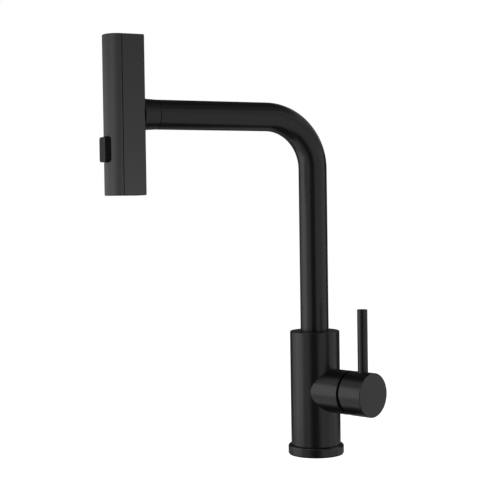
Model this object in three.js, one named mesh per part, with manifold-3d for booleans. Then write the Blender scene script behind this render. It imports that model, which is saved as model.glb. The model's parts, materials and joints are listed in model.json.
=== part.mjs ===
import * as THREE from 'three';
import { mergeVertices } from 'three/addons/utils/BufferGeometryUtils.js';
import Module from 'manifold-3d';

const wasm = await Module();
wasm.setup();

// Everything is in millimetres. The riser stands on Z, the spout arm runs along -Y
// and the deck's top face is at z = 0.

// Main outside sizes
const bodyRadius = 25;
const bodyHeight = 124.8;
const baseRadius = 28.1;
const baseHeight = 10;
const baseFillet = 3;
const spoutHeight = 339.5; // deck to the arm's centre line
const spoutReach = 182.8; // riser axis to the back of the spray head
const tubeRadius = 14.2;
const tubeWall = 1.3;
const bendRadius = 51.5;

// Handle, on a level axis that is turned from +X towards +Y
const handleAngle = 21.4;
const handleHeight = 65.7;
const barrelRadius = 21.8;
const barrelEnd = 44.9; // measured from the riser axis
const handleGap = 2.6;
const hubEnd = 73.9;
const hubRelief = 9.5; // degrees that the hub's lower rim leans away from the barrel
const hubWall = 3.2;
const hubCavityEnd = 55.5;
const rodRadius = 5.03;
const rodOffset = 61.3;
const rodTop = 148.9;

// Spray head
const headHalfWidth = 13.94;
const headDepth = 36.4;
const headHeight = 150.3;
const headRise = 73.7; // arm centre line to the head's top
const headWall = 2;
const headBackWall = 3;
const headEdge = 1.2;
const partingGap = 0.6;
const collarLength = 16;
const collarRadius = 15;
const seamGap = 0.4;

// Mode button
const buttonWidth = 17.7;
const buttonHeight = 23.5;
const buttonCorner = 2.6;
const buttonDrop = 33.5; // arm centre line down to the button's centre
const buttonProud = 2.3; // in front of the nose
const buttonDepth = 10;

// Cartridge
const cartridgeRadius = 17.3;
const cartridgeLength = 22;
const chamberStart = 11;
const discRadius = 11.2;
const carrierRadius = 9.2;
const pivotOffset = 38; // riser axis to the lever's tilting pin
const stemRadius = 3.8;
const stemSquare = 6.6;
const domeInset = 1.3; // dome's radius inside the cartridge's

// Hose, inlets and fixing below the deck
const hoseRadius = 5.2;
const hoseBore = 3.2;
const hosePassage = 6.5;
const portRadius = 2.6;
const nippleRadius = 3.9;
const shankRadius = 17.3;
const shankWall = 2.1;
const shankDepth = 12; // height that the shank screws up into the body
const shankBottom = -58;
const deckThickness = 30;

// Fits
const slip = 0.1; // radial gap of a fitted turned part
const running = 0.3; // gap around a moving part

const large = 36;
const medium = 24;
const small = 12;

function toSolid(geometry) {
  const bare = new THREE.BufferGeometry();
  bare.setAttribute('position', geometry.attributes.position.clone());
  if (geometry.index) {
    bare.setIndex(geometry.index.clone());
  }
  const merged = mergeVertices(bare, 1e-4);
  const points = merged.attributes.position.array;
  const corner = (index) => new THREE.Vector3().fromArray(points, index * 3);
  const kept = [];
  let volume = 0;
  for (let i = 0; i < merged.index.count; i += 3) {
    const [a, b, c] = [merged.index.getX(i), merged.index.getX(i + 1), merged.index.getX(i + 2)];
    if (a !== b && b !== c && c !== a) {
      kept.push(a, b, c);
      volume += corner(a).dot(corner(b).cross(corner(c)));
    }
  }
  const facing = volume < 0 ? kept.reverse() : kept;
  return new wasm.Manifold(new wasm.Mesh({
    numProp: 3,
    vertProperties: new Float32Array(points),
    triVerts: new Uint32Array(facing),
  }));
}

function toGeometry(solid) {
  const mesh = solid.getMesh();
  const geometry = new THREE.BufferGeometry();
  geometry.setAttribute('position', new THREE.BufferAttribute(mesh.vertProperties, 3));
  geometry.setIndex(new THREE.BufferAttribute(mesh.triVerts, 1));
  return geometry;
}

function cut(base, ...tools) {
  return toGeometry(tools.reduce((left, tool) => left.subtract(toSolid(tool)), toSolid(base)));
}

function join(first, ...others) {
  return toGeometry(others.reduce((sum, other) => sum.add(toSolid(other)), toSolid(first)));
}

function keepInside(base, tool) {
  return toGeometry(toSolid(base).intersect(toSolid(tool)));
}

// A closed [radius, height] outline turned about Z
function turned(outline, segments = medium) {
  const points = [...outline, outline[0]].map(([radius, height]) => new THREE.Vector2(radius, height));
  return new THREE.LatheGeometry(points, segments).rotateX(Math.PI / 2);
}

function ring(inner, outer, from, to, segments = medium) {
  return turned([[inner, from], [outer, from], [outer, to], [inner, to]], segments);
}

function disc(radius, from, to, segments = medium) {
  return ring(0, radius, from, to, segments);
}

function box(low, high) {
  const size = high.map((value, axis) => value - low[axis]);
  const middle = high.map((value, axis) => (value + low[axis]) / 2);
  return new THREE.BoxGeometry(...size).translate(...middle);
}

function prism(outline, from, to, curveSegments = 4) {
  const asShape = (corners) => new THREE.Shape(corners.map(([x, y]) => new THREE.Vector2(x, y)));
  const shape = Array.isArray(outline) ? asShape(outline) : outline;
  const options = { depth: to - from, bevelEnabled: false, curveSegments };
  return new THREE.ExtrudeGeometry(shape, options).translate(0, 0, from);
}

// Local z runs along a level axis at the given angle and height, local y stays up
function alongAxis(geometry, angle, height) {
  const turn = THREE.MathUtils.degToRad(angle);
  const side = new THREE.Vector3(-Math.sin(turn), Math.cos(turn), 0);
  const up = new THREE.Vector3(0, 0, 1);
  const along = new THREE.Vector3(Math.cos(turn), Math.sin(turn), 0);
  const matrix = new THREE.Matrix4().makeBasis(side, up, along).setPosition(0, 0, height);
  return geometry.applyMatrix4(matrix);
}

function onHandle(geometry) {
  return alongAxis(geometry, handleAngle, handleHeight);
}

function onSpout(geometry, height = spoutHeight) {
  return alongAxis(geometry, -90, height);
}

// Positions across the handle axis and along it, seen from above
function byHandle(geometry, along, across) {
  const turn = THREE.MathUtils.degToRad(handleAngle);
  const x = along * Math.cos(turn) - across * Math.sin(turn);
  const y = along * Math.sin(turn) + across * Math.cos(turn);
  return geometry.translate(x, y, 0);
}

// A riser, a quarter bend and a level arm, given as stations that a section is swept through
class BentPath extends THREE.Curve {
  constructor(bottom, end, bendSteps) {
    super();
    const bend = Array.from({ length: bendSteps + 1 }, (_, step) => (step / bendSteps) * (Math.PI / 2));
    const centre = spoutHeight - bendRadius;
    this.stations = [
      { place: [0, 0, bottom], angle: 0 },
      ...bend.map((angle) => ({
        place: [0, -bendRadius * (1 - Math.cos(angle)), centre + bendRadius * Math.sin(angle)],
        angle,
      })),
      { place: [0, -end, spoutHeight], angle: Math.PI / 2 },
    ];
  }

  station(fraction) {
    return this.stations[Math.round(fraction * (this.stations.length - 1))];
  }

  getPointAt(fraction, target = new THREE.Vector3()) {
    return target.set(...this.station(fraction).place);
  }

  getTangentAt(fraction, target = new THREE.Vector3()) {
    const { angle } = this.station(fraction);
    return target.set(0, -Math.sin(angle), Math.cos(angle));
  }
}

function bentRod(radius, bottom, end, bendSteps, segments) {
  const path = new BentPath(bottom, end, bendSteps);
  const circle = Array.from({ length: segments }, (_, index) => {
    const angle = (index / segments) * 2 * Math.PI;
    return new THREE.Vector2(radius * Math.cos(angle), radius * Math.sin(angle));
  });
  const steps = path.stations.length - 1;
  return new THREE.ExtrudeGeometry(new THREE.Shape(circle), { steps, extrudePath: path });
}

function roundedRectangle(width, height, corner) {
  const [x, y] = [width / 2, height / 2];
  const shape = new THREE.Shape();
  shape.moveTo(-x + corner, -y);
  shape.lineTo(x - corner, -y);
  shape.absarc(x - corner, -y + corner, corner, -Math.PI / 2, 0, false);
  shape.absarc(x - corner, y - corner, corner, 0, Math.PI / 2, false);
  shape.absarc(-x + corner, y - corner, corner, Math.PI / 2, Math.PI, false);
  shape.absarc(-x + corner, -y + corner, corner, Math.PI, 1.5 * Math.PI, false);
  return shape;
}

// ---------- base and body ----------

const bodyFoot = baseHeight + running;
const spigotRadius = bodyRadius - 3;
const gasketHeight = 1.2;

function baseRing() {
  const bend = [0, 1, 2, 3].map((step) => (step / 3) * (Math.PI / 2));
  const fillet = bend.map((angle) => [
    baseRadius - baseFillet * (1 - Math.cos(angle)),
    baseHeight - baseFillet * (1 - Math.sin(angle)),
  ]);
  const inner = spigotRadius + slip * 2;
  return turned([[inner, gasketHeight], [baseRadius, gasketHeight], ...fillet, [inner, baseHeight]], large);
}

function baseGasket() {
  return ring(shankRadius + running * 2, baseRadius - 0.8, 0, gasketHeight, large);
}

const chamberRadius = cartridgeRadius + slip * 2;
const cartridgeStart = chamberStart + 1;
const cartridgeEnd = cartridgeStart + cartridgeLength;
const inletAlong = 4;
const inletAcross = 10;
const outletAlong = 10.5;
const socketRadius = tubeRadius + 4;
const socketFloor = 92;

function valveBody() {
  const edge = 1.5;
  const shell = turned([
    [0, gasketHeight + slip],
    [spigotRadius, gasketHeight + slip],
    [spigotRadius, bodyFoot],
    [bodyRadius, bodyFoot],
    [bodyRadius, bodyHeight - edge],
    [bodyRadius - edge * 0.3, bodyHeight - edge * 0.3],
    [bodyRadius - edge, bodyHeight],
    [0, bodyHeight],
  ], large);
  const barrel = onHandle(disc(barrelRadius, 0, barrelEnd, large));
  const chamber = onHandle(disc(chamberRadius, chamberStart, barrelEnd + 1, large));
  const ports = [-1, 1].flatMap((side) => [
    byHandle(disc(portRadius, 0, handleHeight, small), inletAlong, side * inletAcross),
    onHandle(disc(portRadius, inletAlong, chamberStart + 1, small).translate(side * inletAcross, 0, 0)),
  ]);
  const outlet = byHandle(disc(portRadius, 0, handleHeight - chamberRadius + 4, small), outletAlong, 0);
  const passage = disc(hosePassage, 0, bodyHeight, small);
  const shankSeat = disc(shankRadius + slip, 0, shankDepth, medium);
  const socket = disc(socketRadius, socketFloor, bodyHeight + 1, large);
  return cut(join(shell, barrel), chamber, ...ports, outlet, passage, shankSeat, socket);
}

// ---------- below the deck ----------

function threadedShank() {
  const inner = shankRadius - shankWall;
  return turned([
    [inner, shankBottom],
    [shankRadius - 1, shankBottom],
    [shankRadius, shankBottom + 1],
    [shankRadius, shankDepth],
    [inner, shankDepth],
  ], medium);
}

const rubberBottom = -deckThickness - 3;
const washerBottom = rubberBottom - 2;

function deckRubberWasher() {
  return ring(shankRadius + running, shankRadius + 12, rubberBottom, -deckThickness, medium);
}

function deckSteelWasher() {
  return ring(shankRadius + running, shankRadius + 10.5, washerBottom, rubberBottom, medium);
}

function deckNut() {
  const across = shankRadius + 7;
  const corners = Array.from({ length: 6 }, (_, index) => {
    const angle = (index / 6) * 2 * Math.PI;
    return [across * Math.cos(angle), across * Math.sin(angle)];
  });
  const nut = prism(corners, washerBottom - 10, washerBottom);
  return cut(nut, disc(shankRadius + slip, washerBottom - 11, washerBottom + 1, medium));
}

function nipple(along, across) {
  const barb = nippleRadius - 0.9;
  const outline = [
    [portRadius - 1, -20],
    [barb, -20],
    [nippleRadius, -14],
    [barb, -14],
    [nippleRadius, -8],
    [barb, -8],
    [barb, 0],
    [nippleRadius, 0],
    [nippleRadius, shankDepth],
    [portRadius - slip, shankDepth],
    [portRadius - slip, shankDepth + 6],
    [portRadius - 1, shankDepth + 6],
  ];
  return byHandle(turned(outline, small), along, across);
}

// ---------- cartridge ----------

const portAcross = 8;
const portDrop = 8;
const discStart = cartridgeStart + 4.1;
const movingDiscStart = discStart + 2.9 + slip;
const carrierStart = movingDiscStart + 2.8 + slip;

function portHoles(radius, from, to) {
  return [[-portAcross, 0], [portAcross, 0], [0, -portDrop]].map(([x, y]) => (
    onHandle(disc(radius, from, to, small).translate(x, y, 0))
  ));
}

function cartridgeSeal() {
  const seal = onHandle(disc(cartridgeRadius - 2.8, chamberStart, cartridgeStart));
  return cut(seal, ...portHoles(portRadius, chamberStart - 1, cartridgeStart + 1));
}

function cartridgeBase() {
  const base = onHandle(disc(cartridgeRadius - 2.8, cartridgeStart, discStart));
  return cut(base, ...portHoles(portRadius - 0.2, cartridgeStart - 1, discStart + 1));
}

function cartridgeHousing() {
  const lip = cartridgeEnd - 4;
  const inner = discRadius + running;
  return onHandle(turned([
    [inner, discStart],
    [cartridgeRadius, discStart],
    [cartridgeRadius, cartridgeEnd],
    [carrierRadius + running, cartridgeEnd],
    [carrierRadius + running, lip],
    [inner, lip],
  ], large));
}

function fixedDisc() {
  const plate = onHandle(disc(discRadius, discStart, movingDiscStart - slip));
  return cut(plate, ...portHoles(portRadius - 0.3, discStart - 1, movingDiscStart + 1));
}

function movingDisc() {
  const plate = onHandle(disc(discRadius - 0.3, movingDiscStart, carrierStart - slip));
  const pocket = prism(roundedRectangle(17, 9, 4), movingDiscStart - 1, movingDiscStart + 1.4);
  return cut(plate, onHandle(pocket));
}

const pinRadius = 1.5;

function stemCarrier() {
  const barrel = onHandle(disc(carrierRadius, carrierStart, pivotOffset + 4));
  const flange = onHandle(disc(discRadius - 0.3, carrierStart, cartridgeEnd - 4 - running));
  const slot = box([-stemRadius - running, -7.6, carrierStart + 1.2], [stemRadius + running, 7.6, pivotOffset + 5]);
  const pinHole = disc(pinRadius + slip, -discRadius, discRadius, small).rotateY(Math.PI / 2);
  return cut(join(barrel, flange), onHandle(slot), onHandle(pinHole.translate(0, 0, pivotOffset)));
}

function stemPin() {
  const length = carrierRadius - 0.6;
  const pin = disc(pinRadius, -length, length, small).rotateY(Math.PI / 2);
  return onHandle(pin.translate(0, 0, pivotOffset));
}

const stemEnd = hubEnd - 8;

function cartridgeStem() {
  const round = disc(stemRadius, carrierStart + 2, hubCavityEnd - 8, small);
  const half = stemSquare / 2;
  const square = box([-half, -half, hubCavityEnd - 9], [half, half, stemEnd]);
  const pinHole = disc(pinRadius + slip * 2, -discRadius, discRadius, small).rotateY(Math.PI / 2);
  return cut(onHandle(join(round, square)), onHandle(pinHole.translate(0, 0, pivotOffset)));
}

const domeRadius = cartridgeRadius - domeInset;
const nutStart = cartridgeEnd + slip;
const nutEnd = barrelEnd - 1.9;

function bonnetNut() {
  return onHandle(ring(carrierRadius + running, chamberRadius - slip, nutStart, nutEnd, large));
}

function bonnetDome() {
  const wall = 1.2;
  const first = Math.asin((nutEnd + slip - pivotOffset) / domeRadius);
  const last = Math.acos((stemRadius + 4.2) / domeRadius);
  const steps = [0, 1, 2, 3, 4].map((step) => first + (last - first) * (step / 4));
  const point = (radius, angle) => [radius * Math.cos(angle), pivotOffset + radius * Math.sin(angle)];
  const outer = steps.map((angle) => point(domeRadius, angle));
  const inner = steps.map((angle) => point(domeRadius - wall, angle)).reverse();
  const foot = nutEnd + slip;
  const innerFoot = inner.filter(([, height]) => height > foot + 0.2);
  return onHandle(turned([...outer, ...innerFoot, [domeRadius * Math.cos(first) - wall, foot]], medium));
}

// ---------- lever ----------

const hubStart = barrelEnd + handleGap;

function hubReliefTool() {
  const reach = barrelRadius + 8;
  const lean = reach * Math.tan(THREE.MathUtils.degToRad(hubRelief));
  const wedge = prism([[0, hubStart - 1], [0, hubStart], [reach, hubStart + lean], [reach, hubStart - 1]], -30, 30);
  // Local x of the wedge becomes down, local y becomes along the handle
  const matrix = new THREE.Matrix4().makeBasis(
    new THREE.Vector3(0, -1, 0),
    new THREE.Vector3(0, 0, 1),
    new THREE.Vector3(-1, 0, 0),
  );
  return onHandle(wedge.applyMatrix4(matrix));
}

function leverHub() {
  const edge = 0.8;
  const drum = onHandle(turned([
    [0, hubStart],
    [barrelRadius, hubStart],
    [barrelRadius, hubEnd - edge],
    [barrelRadius - edge, hubEnd],
    [0, hubEnd],
  ], large));
  const cavity = onHandle(disc(barrelRadius - hubWall, hubStart - 1, hubCavityEnd, large));
  const half = stemSquare / 2 + slip;
  const socket = onHandle(box([-half, -half, hubStart], [half, half, stemEnd + 0.5]));
  const rodHole = byHandle(disc(rodRadius + slip, handleHeight + 5.2, handleHeight + 30, medium), rodOffset, 0);
  const screwHole = byHandle(disc(2 + slip, handleHeight - 30, handleHeight, small), rodOffset, 0);
  return cut(drum, cavity, hubReliefTool(), socket, rodHole, screwHole);
}

function leverRod() {
  const edge = 0.5;
  const outline = [
    [0, handleHeight + 5.3],
    [rodRadius, handleHeight + 5.3],
    [rodRadius, rodTop - edge],
    [rodRadius - edge, rodTop],
    [0, rodTop],
  ];
  return byHandle(turned(outline, medium), rodOffset, 0);
}

function hubSetScrew() {
  return byHandle(disc(2, handleHeight - 13, handleHeight - stemSquare / 2 - slip, small), rodOffset, 0);
}

function hubPlug() {
  return byHandle(disc(2, handleHeight - barrelRadius + 0.6, handleHeight - barrelRadius + 5, small), rodOffset, 0);
}

// ---------- spout ----------

const footBottom = socketFloor + 1 + slip;
const footTop = footBottom + 10;
const tubeBottom = footBottom + 2.5;
const swivelNutBottom = bodyHeight - 8.8;

function thrustWasher() {
  return ring(hosePassage + 3, socketRadius - running, socketFloor, footBottom - slip);
}

function spoutFoot() {
  const outer = socketRadius - running * 2;
  return turned([
    [hosePassage + 3, footBottom],
    [outer, footBottom],
    [outer, footTop],
    [tubeRadius + slip * 2, footTop],
    [tubeRadius + slip * 2, tubeBottom],
    [hosePassage + 3, tubeBottom],
  ], large);
}

function swivelBush() {
  return ring(tubeRadius + running, socketRadius - slip * 2, footTop + slip, swivelNutBottom - slip, large);
}

function swivelNut() {
  return ring(tubeRadius + running, socketRadius - slip, swivelNutBottom, bodyHeight - 0.2, large);
}

const spoutEnd = spoutReach - collarLength;
const tubeBore = tubeRadius - tubeWall;

function spoutTube() {
  const skin = bentRod(tubeRadius, tubeBottom, spoutEnd, 10, large);
  return cut(skin, bentRod(tubeBore, tubeBottom - 1, spoutEnd + 1, 10, medium));
}

const spigotStart = spoutEnd - 12;
const fittingRadius = 7;
const dockBore = 9.4;

function dockingSleeve() {
  return onSpout(ring(dockBore, tubeBore - slip * 2, spigotStart - 4.5, spoutEnd - 0.3, medium));
}

function dockMagnet() {
  return onSpout(ring(dockBore, tubeBore - slip * 2, spigotStart - 9, spigotStart - 4.6, medium));
}

const hoseSplit = bendRadius + 3;

function hoseRiser() {
  const bottom = shankBottom + 10;
  const skin = bentRod(hoseRadius, bottom, hoseSplit, 8, small);
  return cut(skin, bentRod(hoseBore, bottom - 1, hoseSplit + 1, 8, small));
}

// ---------- hose and neck of the spray head ----------

const hoseEnd = spigotStart + 3;
const fittingEnd = spoutEnd + 5;
const stubStart = fittingEnd + 1;

function hoseArmRun() {
  return onSpout(ring(hoseBore, hoseRadius, hoseSplit + 0.5, hoseEnd, small));
}

function hoseFitting() {
  return onSpout(turned([
    [hoseRadius + slip, hoseEnd - 12],
    [fittingRadius - 0.6, hoseEnd - 12],
    [fittingRadius, hoseEnd - 11],
    [fittingRadius, fittingEnd],
    [hoseBore, fittingEnd],
    [hoseBore, hoseEnd + slip],
    [hoseRadius + slip, hoseEnd + slip],
  ], medium));
}

function inletSeal() {
  return onSpout(ring(hoseBore + 0.2, fittingRadius - 0.3, fittingEnd, stubStart, small));
}

const collarBore = fittingRadius + running;
const keeperRadius = dockBore - running;

function headCollar() {
  return onSpout(turned([
    [collarBore, spigotStart + 4],
    [keeperRadius, spigotStart + 4],
    [keeperRadius, spoutEnd - slip],
    [keeperRadius, spoutEnd + seamGap],
    [tubeRadius - 0.5, spoutEnd + seamGap],
    [tubeRadius - 0.1, spoutEnd + seamGap + 0.4],
    [collarRadius, spoutReach - seamGap],
    [collarBore, spoutReach - seamGap],
  ], large));
}

function magnetKeeper() {
  return onSpout(ring(collarBore, keeperRadius, spigotStart - 1, spigotStart + 3.9, medium));
}

// ---------- spray head ----------

const headTop = spoutHeight + headRise;
const headBottom = headTop - headHeight;
const noseCentre = spoutReach + headDepth - headHalfWidth;
const buttonZ = spoutHeight - buttonDrop;
const noseSegments = 10;

// Flat-backed outline with a round nose towards -Y, inset evenly from the head's outside
function noseOutline(inset, backInset, corner) {
  const half = headHalfWidth - inset;
  const back = -(spoutReach + backInset);
  const shape = new THREE.Shape();
  shape.moveTo(half, -noseCentre);
  shape.lineTo(half, back - corner);
  shape.absarc(half - corner, back - corner, corner, 0, Math.PI / 2, false);
  shape.absarc(-half + corner, back - corner, corner, Math.PI / 2, Math.PI, false);
  shape.lineTo(-half, -noseCentre);
  shape.absarc(0, -noseCentre, half, Math.PI, 2 * Math.PI, false);
  return shape;
}

function headBlank() {
  const options = {
    depth: headHeight - headEdge * 2,
    curveSegments: noseSegments,
    bevelEnabled: true,
    bevelThickness: headEdge,
    bevelSize: headEdge,
    bevelOffset: -headEdge,
    bevelSegments: 1,
  };
  const blank = new THREE.ExtrudeGeometry(noseOutline(0, 0, 2), options);
  return blank.translate(0, 0, headBottom + headEdge);
}

function headCavity() {
  const shape = noseOutline(headWall, headBackWall, 0.8);
  return prism(shape, headBottom - 5, headTop - headWall, noseSegments);
}

const screwPlaces = [[8, spoutHeight + 8.5], [-8, spoutHeight - 49.5]];
const screwRadius = 1.5;

function screwHoles(from, to) {
  return screwPlaces.map(([x, z]) => onSpout(disc(screwRadius + slip, from, to, small).translate(x, 0, 0), z));
}

function headRearShell() {
  const rear = box([-40, -(noseCentre - partingGap / 2), headBottom - 10], [40, 0, headTop + 10]);
  const neckHole = onSpout(disc(collarBore, spoutReach - 5, spoutReach + headBackWall + 2, medium));
  const backWall = spoutReach + headBackWall;
  return cut(keepInside(headBlank(), rear), headCavity(), neckHole, ...screwHoles(backWall - 1.8, backWall + 1));
}

function buttonOutline(clearance) {
  const corner = buttonCorner + clearance;
  return roundedRectangle(buttonWidth + clearance * 2, buttonHeight + clearance * 2, corner);
}

function headFrontShell() {
  const front = box([-40, -400, headBottom - 10], [40, -(noseCentre + partingGap / 2), headTop + 10]);
  const window = onSpout(prism(buttonOutline(running + 0.1), noseCentre + 2, noseCentre + 40), buttonZ);
  return cut(keepInside(headBlank(), front), headCavity(), window);
}

const chassisFront = noseCentre - 0.4;
const chassisBack = spoutReach + headBackWall + 0.2;
const sprayTop = headBottom + 5.1;
const spoolStart = chassisFront - 12.36;
const waterwayOffset = spoolStart + 2.5;
const aeratorOffset = noseCentre - 4.2;
const aeratorRadius = 6;
const spoolRadius = 5;
const nozzleCount = 10;
const tiny = 8;

function headChassis() {
  const half = headHalfWidth - headWall - 0.35;
  const block = box([-half, -chassisFront, sprayTop], [half, -chassisBack, spoutHeight + 13]);
  const foot = prism(noseOutline(headWall + 0.35, headBackWall + 0.2, 0.8), sprayTop, sprayTop + 14, noseSegments);
  const stub = onSpout(disc(fittingRadius, stubStart, chassisBack + 1, medium));
  const inlet = onSpout(disc(4.4, stubStart - 1, waterwayOffset, small));
  const drop = disc(3.2, sprayTop + 6, spoutHeight, small).translate(0, -waterwayOffset, 0);
  const sprayRoom = disc(aeratorRadius + slip * 2, sprayTop - 1, sprayTop + 9, medium).translate(0, -aeratorOffset, 0);
  const spoolBore = onSpout(disc(spoolRadius + running, spoolStart - 2.5, chassisFront + 1, small), buttonZ);
  const screws = screwHoles(chassisBack - 1, chassisFront + 1);
  return cut(join(block, foot, stub), inlet, drop, sprayRoom, spoolBore, ...screws);
}

function chassisScrew(place) {
  const [x, z] = place;
  const screw = turned([
    [0, spoutReach + headBackWall - 1.6],
    [screwRadius, spoutReach + headBackWall - 1.6],
    [screwRadius, chassisFront + slip],
    [2.8, chassisFront + slip],
    [2.8, chassisFront + 1.6],
    [0, chassisFront + 1.6],
  ], small);
  return onSpout(screw.translate(x, 0, 0), z);
}

function checkValve() {
  return onSpout(ring(2.2, 4.2, stubStart + 3, stubStart + 11, small));
}

function nozzlePlaces() {
  return Array.from({ length: nozzleCount }, (_, index) => {
    const angle = (index / nozzleCount) * 2 * Math.PI;
    return [8.8 * Math.cos(angle), -aeratorOffset + 8.8 * Math.sin(angle)];
  });
}

function sprayPlate() {
  const shape = noseOutline(headWall + 0.25, headBackWall + 0.25, 0.8);
  const plate = prism(shape, headBottom + 0.5, sprayTop - 1.6, noseSegments);
  const holes = nozzlePlaces().map(([x, y]) => disc(0.9, headBottom, sprayTop, tiny).translate(x, y, 0));
  const middle = disc(aeratorRadius + slip * 2, headBottom, sprayTop, medium).translate(0, -aeratorOffset, 0);
  return cut(plate, ...holes, middle);
}

function nozzlePad() {
  const pad = ring(aeratorRadius + slip * 2, 10.6, sprayTop - 1.5, sprayTop - 0.1, medium);
  const nozzles = nozzlePlaces().map(([x, y]) => disc(0.7, headBottom + 0.1, sprayTop - 1, tiny).translate(x, y, 0));
  return join(pad.translate(0, -aeratorOffset, 0), ...nozzles);
}

function aeratorHousing() {
  const housing = turned([
    [aeratorRadius - 1.2, headBottom + 0.3],
    [aeratorRadius, headBottom + 0.3],
    [aeratorRadius, sprayTop + 6],
    [aeratorRadius - 1.2, sprayTop + 6],
  ], medium);
  return housing.translate(0, -aeratorOffset, 0);
}

function aeratorInsert() {
  const radius = aeratorRadius - 1.2 - slip;
  const plug = disc(radius, headBottom + 1.6, sprayTop + 5, medium);
  const holes = Array.from({ length: 6 }, (_, index) => {
    const angle = (index / 6) * 2 * Math.PI;
    return disc(0.9, headBottom, sprayTop + 6, tiny).translate(2.8 * Math.cos(angle), 2.8 * Math.sin(angle), 0);
  });
  return cut(plug, disc(0.9, headBottom, sprayTop + 6, tiny), ...holes).translate(0, -aeratorOffset, 0);
}

// ---------- mode button ----------

const buttonFront = spoutReach + headDepth + buttonProud;
const buttonBack = buttonFront - buttonDepth;
const rodFront = buttonFront - 2;

function modeButton() {
  const bevel = 0.7;
  const options = {
    depth: buttonDepth - bevel,
    curveSegments: 4,
    bevelEnabled: false,
  };
  const block = new THREE.ExtrudeGeometry(buttonOutline(0), options).translate(0, 0, buttonBack);
  const crown = new THREE.ExtrudeGeometry(buttonOutline(-bevel), {
    depth: 0.02,
    curveSegments: 4,
    bevelEnabled: true,
    bevelThickness: bevel,
    bevelSize: bevel,
    bevelSegments: 1,
  }).translate(0, 0, buttonFront - bevel - 0.02);
  const tabs = [-1, 1].map((side) => {
    const edge = side * (buttonHeight / 2 + 1.6);
    const [low, high] = [Math.min(0, edge), Math.max(0, edge)];
    return box([-6, low, buttonBack + 2.4], [6, high, buttonBack + 3.8]);
  });
  const pocket = prism(buttonOutline(-1.8), buttonBack - 1, rodFront);
  const rodSeat = disc(3.2, buttonBack + 1, buttonFront - 1, small);
  const body = join(cut(join(block, crown, ...tabs), pocket), rodSeat);
  return onSpout(cut(body, disc(2.1, buttonBack, rodFront, small)), buttonZ);
}

function diverterSpool() {
  const start = spoolStart;
  const land = spoolRadius;
  const neck = 2;
  return onSpout(turned([
    [0, start],
    [land, start],
    [land, start + 2.5],
    [neck, start + 2.5],
    [neck, start + 7],
    [land, start + 7],
    [land, start + 9.5],
    [neck, start + 9.5],
    [neck, rodFront - slip],
    [0, rodFront - slip],
  ], small), buttonZ);
}

function spoolGland() {
  return onSpout(ring(2 + running, spoolRadius + running - slip, chassisFront - 1.8, chassisFront + 0.8, small), buttonZ);
}

// ---------- assembly ----------

const finishes = {
  blackCoat: { color: 0x131313, roughness: 0.42, metalness: 0.6 },
  blackPlastic: { color: 0x101010, roughness: 0.5, metalness: 0 },
  greyPlastic: { color: 0x8c8f92, roughness: 0.5, metalness: 0 },
  brass: { color: 0xb08d4a, roughness: 0.35, metalness: 1 },
  steel: { color: 0xa8abad, roughness: 0.35, metalness: 1 },
  rubber: { color: 0x1b1b1b, roughness: 0.8, metalness: 0 },
  ceramic: { color: 0xe8e6df, roughness: 0.3, metalness: 0 },
  braid: { color: 0x3a3a3c, roughness: 0.7, metalness: 0 },
};

const pieces = [
  ['base_ring', baseRing(), 'blackCoat'],
  ['base_gasket', baseGasket(), 'rubber'],
  ['valve_body', valveBody(), 'blackCoat'],
  ['threaded_shank', threadedShank(), 'brass'],
  ['deck_rubber_washer', deckRubberWasher(), 'rubber'],
  ['deck_steel_washer', deckSteelWasher(), 'steel'],
  ['deck_nut', deckNut(), 'brass'],
  ['hot_inlet_nipple', nipple(inletAlong, inletAcross), 'steel'],
  ['cold_inlet_nipple', nipple(inletAlong, -inletAcross), 'steel'],
  ['mixed_outlet_nipple', nipple(outletAlong, 0), 'steel'],
  ['cartridge_seal', cartridgeSeal(), 'rubber'],
  ['cartridge_base', cartridgeBase(), 'greyPlastic'],
  ['cartridge_housing', cartridgeHousing(), 'greyPlastic'],
  ['fixed_disc', fixedDisc(), 'ceramic'],
  ['bonnet_nut', bonnetNut(), 'brass'],
  ['bonnet_dome', bonnetDome(), 'blackCoat'],
  ['moving_disc', movingDisc(), 'ceramic'],
  ['stem_carrier', stemCarrier(), 'greyPlastic'],
  ['stem_pin', stemPin(), 'steel'],
  ['cartridge_stem', cartridgeStem(), 'steel'],
  ['lever_hub', leverHub(), 'blackCoat'],
  ['lever_rod', leverRod(), 'blackCoat'],
  ['hub_set_screw', hubSetScrew(), 'steel'],
  ['hub_plug', hubPlug(), 'rubber'],
  ['thrust_washer', thrustWasher(), 'greyPlastic'],
  ['swivel_bush', swivelBush(), 'greyPlastic'],
  ['swivel_nut', swivelNut(), 'blackCoat'],
  ['spout_foot', spoutFoot(), 'brass'],
  ['spout_tube', spoutTube(), 'blackCoat'],
  ['docking_sleeve', dockingSleeve(), 'blackPlastic'],
  ['dock_magnet', dockMagnet(), 'steel'],
  ['hose_riser', hoseRiser(), 'braid'],
  ['hose_arm_run', hoseArmRun(), 'braid'],
  ['hose_fitting', hoseFitting(), 'steel'],
  ['inlet_seal', inletSeal(), 'rubber'],
  ['head_collar', headCollar(), 'blackCoat'],
  ['magnet_keeper', magnetKeeper(), 'steel'],
  ['head_rear_shell', headRearShell(), 'blackCoat'],
  ['head_front_shell', headFrontShell(), 'blackCoat'],
  ['head_chassis', headChassis(), 'greyPlastic'],
  ['chassis_screw_upper', chassisScrew(screwPlaces[0]), 'steel'],
  ['chassis_screw_lower', chassisScrew(screwPlaces[1]), 'steel'],
  ['check_valve', checkValve(), 'greyPlastic'],
  ['spray_plate', sprayPlate(), 'blackPlastic'],
  ['nozzle_pad', nozzlePad(), 'rubber'],
  ['aerator_housing', aeratorHousing(), 'blackPlastic'],
  ['aerator_insert', aeratorInsert(), 'greyPlastic'],
  ['mode_button', modeButton(), 'blackPlastic'],
  ['diverter_spool', diverterSpool(), 'greyPlastic'],
  ['spool_gland', spoolGland(), 'brass'],
];

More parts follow.
